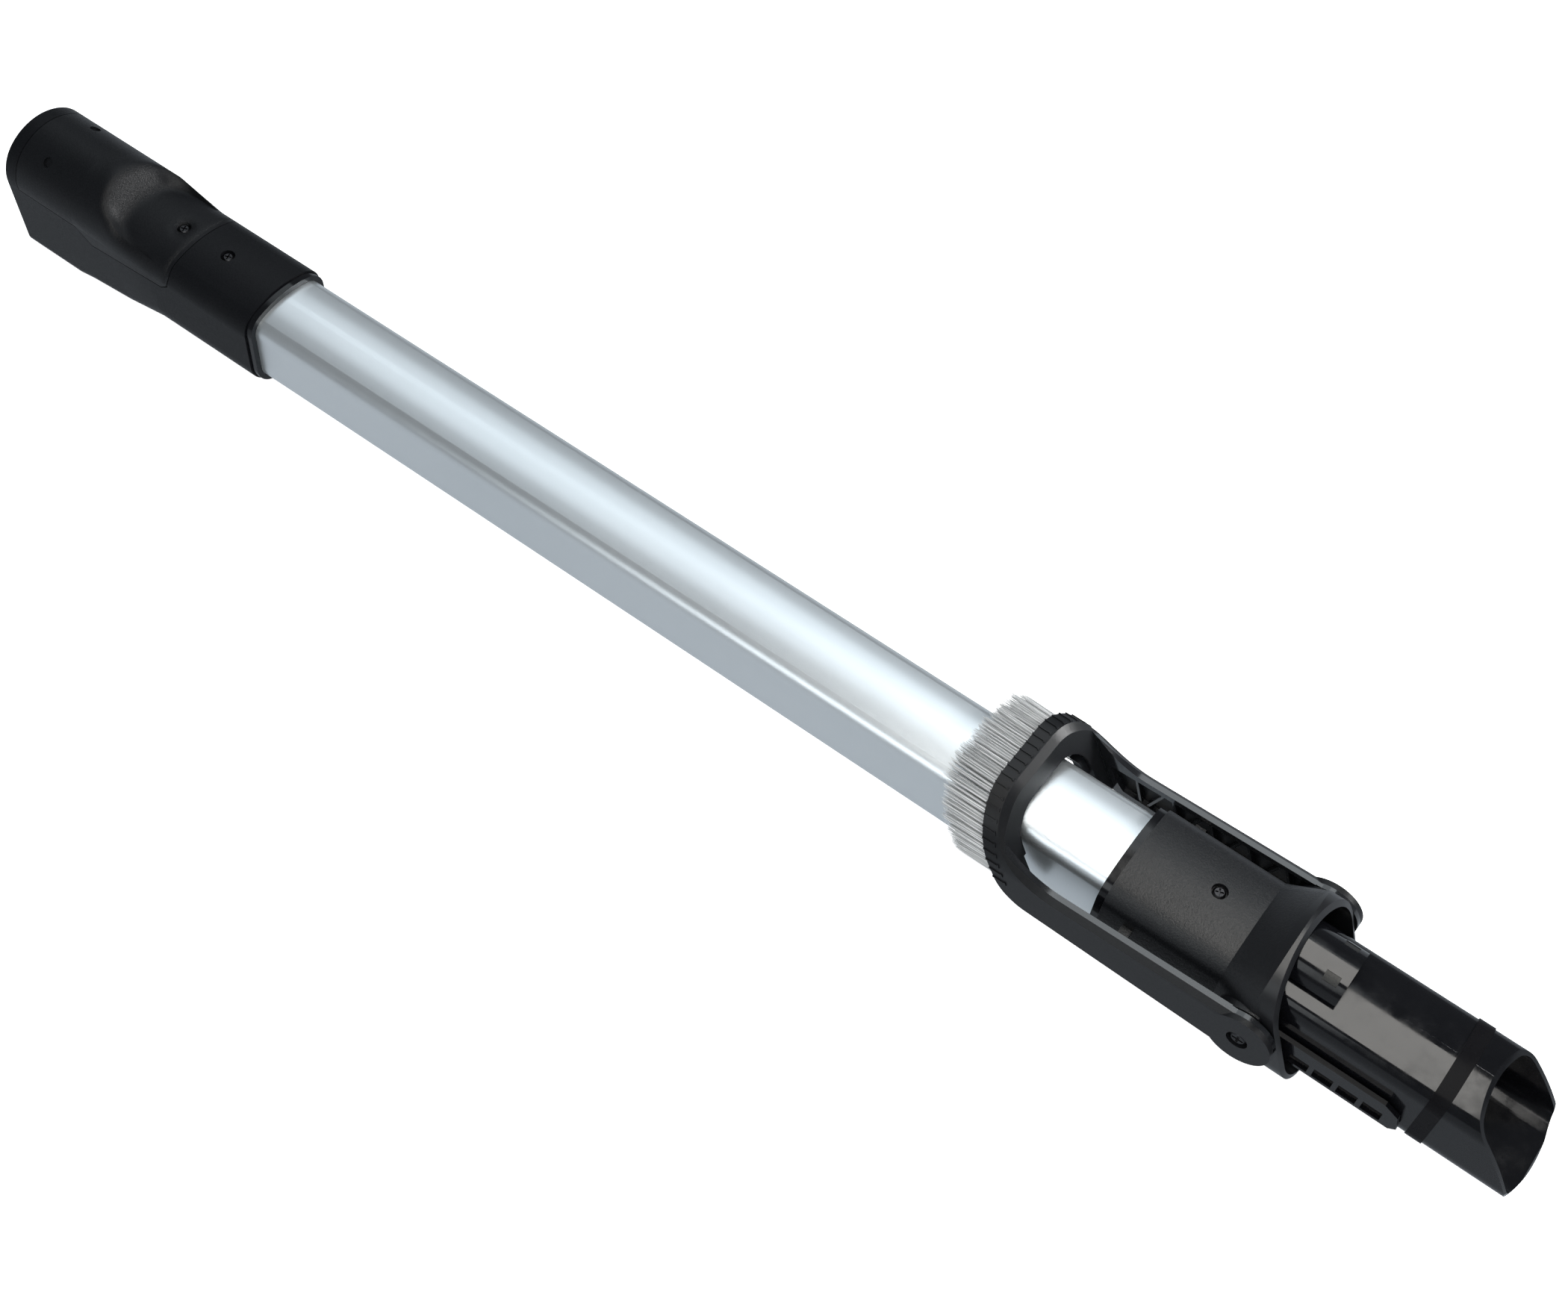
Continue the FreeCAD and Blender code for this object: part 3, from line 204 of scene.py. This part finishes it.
def new_finish(name, metallic, specular=0.5):
    """A material, its shader and the coordinates of the piece it is on."""
    finish = bpy.data.materials.new(name)
    finish.use_nodes = True
    shader = finish.node_tree.nodes["Principled BSDF"]
    shader.inputs["Metallic"].default_value = metallic
    shader.inputs["Specular IOR Level"].default_value = specular
    coordinates = finish.node_tree.nodes.new("ShaderNodeTexCoord")
    return finish, shader, Field(finish.node_tree, coordinates.outputs["Object"])


def feed(shader, socket, field):
    """Let a field drive one of the shader's sockets."""
    field.tree.links.new(field.socket, shader.inputs[socket])


def dress(node, finish):
    """Give a solid its finish."""
    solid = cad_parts[node]
    if not solid.material_slots:
        solid.data.materials.append(finish)
    for slot in solid.material_slots:
        slot.material = finish


# Aluminium tube
# Extruded aluminium, blasted and anodised a pale silver. The blasting leaves a very fine
# sparkle that softens the long reflections without hiding them.

silver, shader, place = new_finish("silver_anodised", metallic=0.90)
sparkle = place.grain(2100, detail=3.0, roughness=0.7)
cloud = place.grain(9, detail=2.0)
feed(shader, "Base Color", place.tint(cloud, (0.74, 0.79, 0.82), (0.82, 0.86, 0.885)))
feed(shader, "Roughness", sparkle.between(0.19, 0.49))
feed(shader, "Normal", place.bump(sparkle, strength=0.35, distance=0.00006))
dress("aluminium_tube", silver)

# Handle-end housing
# Two shells moulded in black plastic and screwed together. Their outer faces carry a fine
# spark-eroded texture, and the thumb scoop in the cover runs out in soft edges.


def moulded_black(name, specular, pores_a_metre):
    """Black plastic from a spark-eroded mould, with the pores that the mould leaves."""
    finish, shader, place = new_finish(name, 0.0, specular)
    pores = place.grain(pores_a_metre, detail=3.0, roughness=0.7)
    cloud = place.grain(40, detail=2.0)
    feed(shader, "Base Color", place.tint(
        cloud, (0.0050, 0.0056, 0.0068), (0.0075, 0.0080, 0.0095)))
    feed(shader, "Roughness", pores.between(0.20, 0.54))
    return finish, shader, place, pores


housing_pores = 1500
pore_strength, pore_depth = 0.65, 0.00014
moulded, shader, place, pores = moulded_black("black_moulded", 0.12, housing_pores)
feed(shader, "Normal", place.bump(pores, pore_strength, pore_depth))
dress("lower_housing", moulded)

scoop_middle, scoop_half, scoop_bottom = 0.0655, 0.0265, 0.010
scoop_edge_radius = 0.0066
scooped, shader, place, pores = moulded_black("black_moulded_scoop", 0.20, housing_pores)
along_scoop = abs(place.axis("X") - scoop_middle) < scoop_half
in_scoop = along_scoop * (place.axis("Z") > scoop_bottom)
flat_normal = place.node("ShaderNodeNewGeometry", {}, {}, "Normal")
soft_normal = place.node("ShaderNodeBevel", {"samples": 8}, {"Radius": scoop_edge_radius})
scoop_normal = place.node("ShaderNodeMix", {"data_type": "VECTOR"}, {
    0: in_scoop, 4: flat_normal, 5: soft_normal}, 1)
feed(shader, "Normal", place.node("ShaderNodeBump", {}, {
    "Height": pores, "Strength": pore_strength, "Distance": pore_depth, "Normal": scoop_normal}))
dress("top_cover", scooped)

# Sleeve and hinge collar
# Mouldings of the same plastic that hold the spigot and the hinge on the tube's end. Their
# mould has a coarser texture that catches more light.

sleeve_pores = 1250
coarse, shader, place, pores = moulded_black("black_moulded_coarse", 0.42, sleeve_pores)
feed(shader, "Normal", place.bump(pores, strength=0.8, distance=0.00018))
for node in ("front_sleeve", "hinge_collar"):
    dress(node, coarse)

# Brush fork
# One moulding in the same black plastic. Its outer faces are textured, while the inner faces,
# with their flanges and lattice, come from a smooth core and shine.

core_half = 0.0304
core_rear, core_lean = 0.5170, 0.53
forked, shader, place = new_finish("black_fork", metallic=0.0, specular=0.24)
pores = place.grain(1700, detail=3.0, roughness=0.7)
before_arch = place.axis("X") + place.axis("Z") * core_lean > core_rear
core = (abs(place.axis("Y")) < core_half) * before_arch
feed(shader, "Base Color", place.tint(pores, (0.0060, 0.0066, 0.0078), (0.0090, 0.0096, 0.0110)))
feed(shader, "Roughness", core * -0.22 + pores.between(0.24, 0.50))
feed(shader, "Coat Weight", core)
shader.inputs["Coat Roughness"].default_value = 0.10
shader.inputs["Coat IOR"].default_value = 1.65
feed(shader, "Normal", place.bump(pores * (1 - core), strength=0.25, distance=0.00008))
dress("brush_fork", forked)

# Glossy trims
# The lips round the tube, the tongue, the rails and the spigot are black plastic from polished
# moulds. Their faces swell a little, and a faint parting line runs along the spigot's crown.

parting_y, parting_half, parting_low = -0.0004, 0.00018, 0.017
gloss, shader, place = new_finish("black_polished", metallic=0.0, specular=0.36)
haze = place.grain(110, detail=5.0, roughness=0.65)
swell = place.grain(38, detail=2.0)
on_parting = abs(place.axis("Y") - parting_y) < parting_half
parting = on_parting * (place.axis("Z") > parting_low)
feed(shader, "Base Color", place.tint(haze, (0.0030, 0.0032, 0.0042), (0.0048, 0.0050, 0.0062)))
feed(shader, "Roughness", (haze - 0.35) * 0.42 + 0.055)
feed(shader, "Normal", place.bump(swell * 0.5 - parting * 0.05, strength=0.40, distance=0.00050))
for node in (
        "housing_lip", "sleeve_trim", "contact_tongue", "rail_near", "rail_far", "nozzle_spigot"):
    dress(node, gloss)

# Shade sheets of the side rails
# Each ladder rail gets a thin black sheet that closes the gap between its lower edge and the
# spigot: painted shade for that gap. The sheet tapers towards its front end, and its edges are
# broken.

shade_sheet_rear, shade_sheet_front = 0.5975, 0.6590
shade_sheet_inner, shade_sheet_outer = 0.0195, 0.0206
shade_sheet_low, shade_sheet_high = -0.0112, -0.0103
shade_sheet_taper, shade_sheet_edge = 0.0016, 0.00015
for name, side in (("rail_shade_sheet_near", -1), ("rail_shade_sheet_far", 1)):
    bpy.ops.object.select_all(action="DESELECT")
    bpy.ops.mesh.primitive_cube_add(size=1)
    shade_sheet = bpy.context.active_object
    shade_sheet.name = name
    shade_sheet.data.name = name
    shade_sheet.scale = (shade_sheet_front - shade_sheet_rear, shade_sheet_outer - shade_sheet_inner, shade_sheet_high - shade_sheet_low)
    shade_sheet.location = (
        (shade_sheet_front + shade_sheet_rear) / 2, side * (shade_sheet_outer + shade_sheet_inner) / 2, (shade_sheet_high + shade_sheet_low) / 2)
    bpy.ops.object.transform_apply(location=True, rotation=False, scale=True)
    bpy.ops.object.mode_set(mode="EDIT")
    bpy.ops.mesh.select_all(action="DESELECT")
    bpy.ops.mesh.select_mode(type="VERT")
    bpy.ops.object.mode_set(mode="OBJECT")
    shade_sheet_middle = (shade_sheet_outer + shade_sheet_inner) / 2
    for corner in shade_sheet.data.vertices:
        corner.select = corner.co.x > shade_sheet_front - shade_sheet_taper and abs(corner.co.y) < shade_sheet_middle
    bpy.ops.object.mode_set(mode="EDIT")
    bpy.ops.transform.translate(value=(-shade_sheet_taper, 0, 0))
    bpy.ops.object.mode_set(mode="OBJECT")
    broken_edge = shade_sheet.modifiers.new("broken_edge", "BEVEL")
    broken_edge.width = shade_sheet_edge
    broken_edge.segments = 2
    bpy.ops.object.modifier_apply(modifier="broken_edge")
    # The sheet is black polished plastic: painted shade where the gap under the rail shows.
    shade_sheet.data.materials.append(gloss)
    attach(shade_sheet, "wand")

# Bezel of the hinge collar
# A separate ring moulded in black plastic and pressed on in front of the collar. Its fine satin
# face is smoother than the collar behind it.

satin, shader, place = new_finish("black_satin", metallic=0.0, specular=0.45)
pores = place.grain(3000, detail=2.0)
feed(shader, "Base Color", place.tint(pores, (0.0060, 0.0064, 0.0078), (0.0090, 0.0094, 0.0110)))
feed(shader, "Roughness", pores.between(0.27, 0.35))
dress("front_bezel", satin)

# Soft band of the spigot
# A smooth elastomer band in a groove round the spigot, which seals it in the floor head's
# socket. It is duller than the polished spigot.

elastic, shader, place = new_finish("smooth_band", metallic=0.0, specular=0.04)
streak = place.grain(120, detail=3.0)
feed(shader, "Base Color", place.tint(streak, (0.0045, 0.0045, 0.0055), (0.0075, 0.0075, 0.0085)))
feed(shader, "Roughness", streak.between(0.20, 0.34))
dress("seal_band", elastic)

# Seals, wiring duct and inner carriers
# Thermoplastic rubber for the seals, and unpolished black plastic for the pieces that no one
# sees: the duct, the contacts' carrier and the strip of the tufts. All are matte and dusty.

rubber, shader, place = new_finish("soft_black", metallic=0.0, specular=0.3)
dust = place.grain(900, detail=3.0)
feed(shader, "Base Color", place.tint(dust, (0.012, 0.012, 0.012), (0.022, 0.022, 0.023)))
feed(shader, "Roughness", dust.between(0.55, 0.67))
for node in ("socket_seal", "tube_seal", "wiring_channel", "contact_carrier", "tuft_strip"):
    dress(node, rubber)

# Screws, washers and bushes
# Self-tapping screws, zinc-plated black with a thin oily shine, and the turned steel washers
# and bushes that the hinge's screws hold.

plated, shader, place = new_finish("black_zinc", metallic=1.0)
wear = place.grain(1500, detail=3.0)
feed(shader, "Base Color", place.tint(wear, (0.030, 0.030, 0.032), (0.075, 0.075, 0.080)))
feed(shader, "Roughness", wear.between(0.28, 0.48))
for node in ("cover_screw", "housing_screw", "sleeve_screw", "pivot_screw_near", "pivot_screw_far"):
    dress(node, plated)

turned, shader, place = new_finish("turned_steel", metallic=1.0)
wear = place.grain(2200, detail=2.0)
feed(shader, "Base Color", place.tint(wear, (0.40, 0.40, 0.41), (0.52, 0.52, 0.53)))
feed(shader, "Roughness", wear.between(0.25, 0.45))
for node in ("pivot_washer_near", "pivot_washer_far", "pivot_bush_near", "pivot_bush_far"):
    dress(node, turned)

# Contacts
# Stamped brass blades in the socket, and nickel-plated strips sunk in the tongue's windows.
# The strips are dull, and their near-black colour is painted shade of the windows' recess.

nickel, shader, place = new_finish("nickel_painted_shade", metallic=1.0)
stain = place.grain(1800, detail=2.0)
# Near-black colour of the strips: painted shade of the recess, with a random mottle.
feed(shader, "Base Color", place.tint(stain, (0.030, 0.030, 0.030), (0.075, 0.075, 0.072)))
feed(shader, "Roughness", stain.between(0.35, 0.55))
for node in ("contact_near", "contact_far"):
    dress(node, nickel)

brass, shader, place = new_finish("plated_brass", metallic=1.0)
stain = place.grain(1800, detail=2.0)
feed(shader, "Base Color", place.tint(stain, (0.20, 0.19, 0.17), (0.36, 0.35, 0.32)))
feed(shader, "Roughness", stain.between(0.22, 0.42))
for node in ("blade_near", "blade_far"):
    dress(node, brass)

# Bristles
# Each tuft is a bundle of grey nylon filaments, stapled into the strip in the rear face
# of the arch. The filaments fan out a little, cling together in pointed wisps, and end unevenly.

nylon, shader, place = new_finish("grey_nylon", metallic=0.0, specular=0.4)
# The filaments' grey comes from their attribute: painted shade, darker at the edges of the wisps
# and deep inside the tufts, over a random tone per filament.
painted_shade_and_tone = place.node("ShaderNodeAttribute", {"attribute_name": "painted_shade_and_tone"}, {}, "Fac")
feed(shader, "Base Color", place.tint(painted_shade_and_tone, (0.16, 0.164, 0.17), (0.95, 0.97, 0.98)))
feed(shader, "Roughness", painted_shade_and_tone.between(0.38, 0.48))

arch_half, arch_top, arch_corner = 0.0326, 0.0302, 0.022
strip_inset, strip_low = 0.0048, -0.0014
strip_rear, strip_lean = 0.5084, 0.53
tuft_count, tuft_pitch = 31, 0.0033
tuft_half = 0.00165
bristle_length = 0.0198
bristle_thick, bristle_tip = 0.00016, 0.00005


def arch_station(distance):
    """Place and outward direction along the strip, measured from the middle of the arch."""
    side = 1 if distance >= 0 else -1
    travel = abs(distance)
    flat = arch_half - arch_corner
    radius = arch_corner - strip_inset
    if travel <= flat:
        y, z, out_y, out_z = travel, arch_top - strip_inset, 0.0, 1.0
    elif travel <= flat + radius * math.pi / 2:
        turn = (travel - flat) / radius
        out_y, out_z = math.sin(turn), math.cos(turn)
        y, z = flat + radius * out_y, arch_top - arch_corner + radius * out_z
    else:
        y, out_y, out_z = arch_half - strip_inset, 1.0, 0.0
        z = arch_top - arch_corner - (travel - flat - radius * math.pi / 2)
    return Vector((0, side * y, z)), Vector((0, side * out_y, out_z))


bpy.ops.object.select_all(action="DESELECT")
bpy.ops.mesh.primitive_cone_add(
    vertices=4, radius1=bristle_thick, radius2=bristle_tip, depth=bristle_length,
    end_fill_type="NGON", location=(0, 0, bristle_length / 2))
filament = bpy.context.active_object
bpy.ops.object.transform_apply(location=True, rotation=True, scale=True)
filament_points = [point.co.copy() for point in filament.data.vertices]
filament_faces = [tuple(face.vertices) for face in filament.data.polygons]
bpy.data.objects.remove(filament)
tuft_points, tuft_faces, tuft_painted_shade = [], [], []


def add_filament(root, tip, painted_light_and_tone):
    """Copy the filament from its root to its tip, in its grey of painted shade and random tone."""
    shaft = tip - root
    turn = shaft.to_track_quat("Z", "Y")
    start = len(tuft_points)
    for point in filament_points:
        on_shaft = Vector((point.x, point.y, point.z / bristle_length * shaft.length))
        tuft_points.append(root + turn @ on_shaft)
    tuft_faces.extend(tuple(corner + start for corner in face) for face in filament_faces)
    tuft_painted_shade.extend([painted_light_and_tone] * len(filament_points))


# The tufts stand along the strip. Places across a tuft are parts of its half width, and each
# wisp holds rows of filaments whose tips draw together.
chance = random.Random(7)
wisps, wisp_rows, wisp_columns = 3, 3, 8
root_spread, tip_spread = 0.86, 1.02
root_depth, tip_depth = 0.85, 1.15
row_gap, tip_gap_least, tip_gap_most = 0.20, 0.05, 0.24
root_gap = 0.0002
mean_reach = 0.955
wisp_edge_painted_shade, tuft_inside_painted_shade, darkest_filament = 0.55, 0.72, 0.7
for index in range(-(tuft_count // 2), tuft_count // 2 + 1):
    middle, outward = arch_station(index * tuft_pitch)
    if middle.z < strip_low:
        continue
    along = Vector((0, -outward.z, outward.y))
    for wisp in range(wisps):
        across = (wisp + 0.5) * 2 / wisps - 1 + chance.uniform(-0.08, 0.08)
        drift = chance.gauss(0, 0.13)
        wisp_reach = chance.gauss(0, 0.042)
        for row in range(wisp_rows):
            for column in range(wisp_columns):
                offset = row - (wisp_rows - 1) / 2 + chance.uniform(-0.25, 0.25)
                depth = 2 * column / (wisp_columns - 1) - 1 + chance.uniform(-0.10, 0.10)
                root = middle + along * (tuft_half * (across * root_spread + offset * row_gap))
                root += outward * (depth * tuft_half * root_depth)
                root.x = strip_rear - strip_lean * root.z + root_gap
                tip_gap = chance.uniform(tip_gap_least, tip_gap_most)
                tip = middle + along * (
                    tuft_half * (across * tip_spread + drift + offset * tip_gap))
                tip += outward * (depth * tuft_half * tip_depth + chance.gauss(0, 0.00010))
                reach = min(1.0, mean_reach + wisp_reach + chance.gauss(0, 0.018))
                tip.x = strip_rear - strip_lean * tip.z - bristle_length * reach
                # Painted shade: darker towards the edges of the wisp and towards the inside of the
                # tuft; the last factor is a random tone per filament.
                painted_light_and_tone = 1 - wisp_edge_painted_shade * abs(offset)
                painted_light_and_tone *= tuft_inside_painted_shade + (1 - tuft_inside_painted_shade) * max(0.0, depth)
                painted_light_and_tone *= chance.uniform(darkest_filament, 1.0)
                add_filament(root, tip, painted_light_and_tone)

mesh = bpy.data.meshes.new("bristle_filaments")
mesh.from_pydata(tuft_points, [], tuft_faces)
mesh.attributes.new("painted_shade_and_tone", "FLOAT", "POINT").data.foreach_set("value", tuft_painted_shade)
mesh.materials.append(nylon)
filaments = bpy.data.objects.new("bristle_filaments", mesh)
bpy.context.scene.collection.objects.link(filaments)
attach(filaments, "brush")
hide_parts("bristle_tufts")
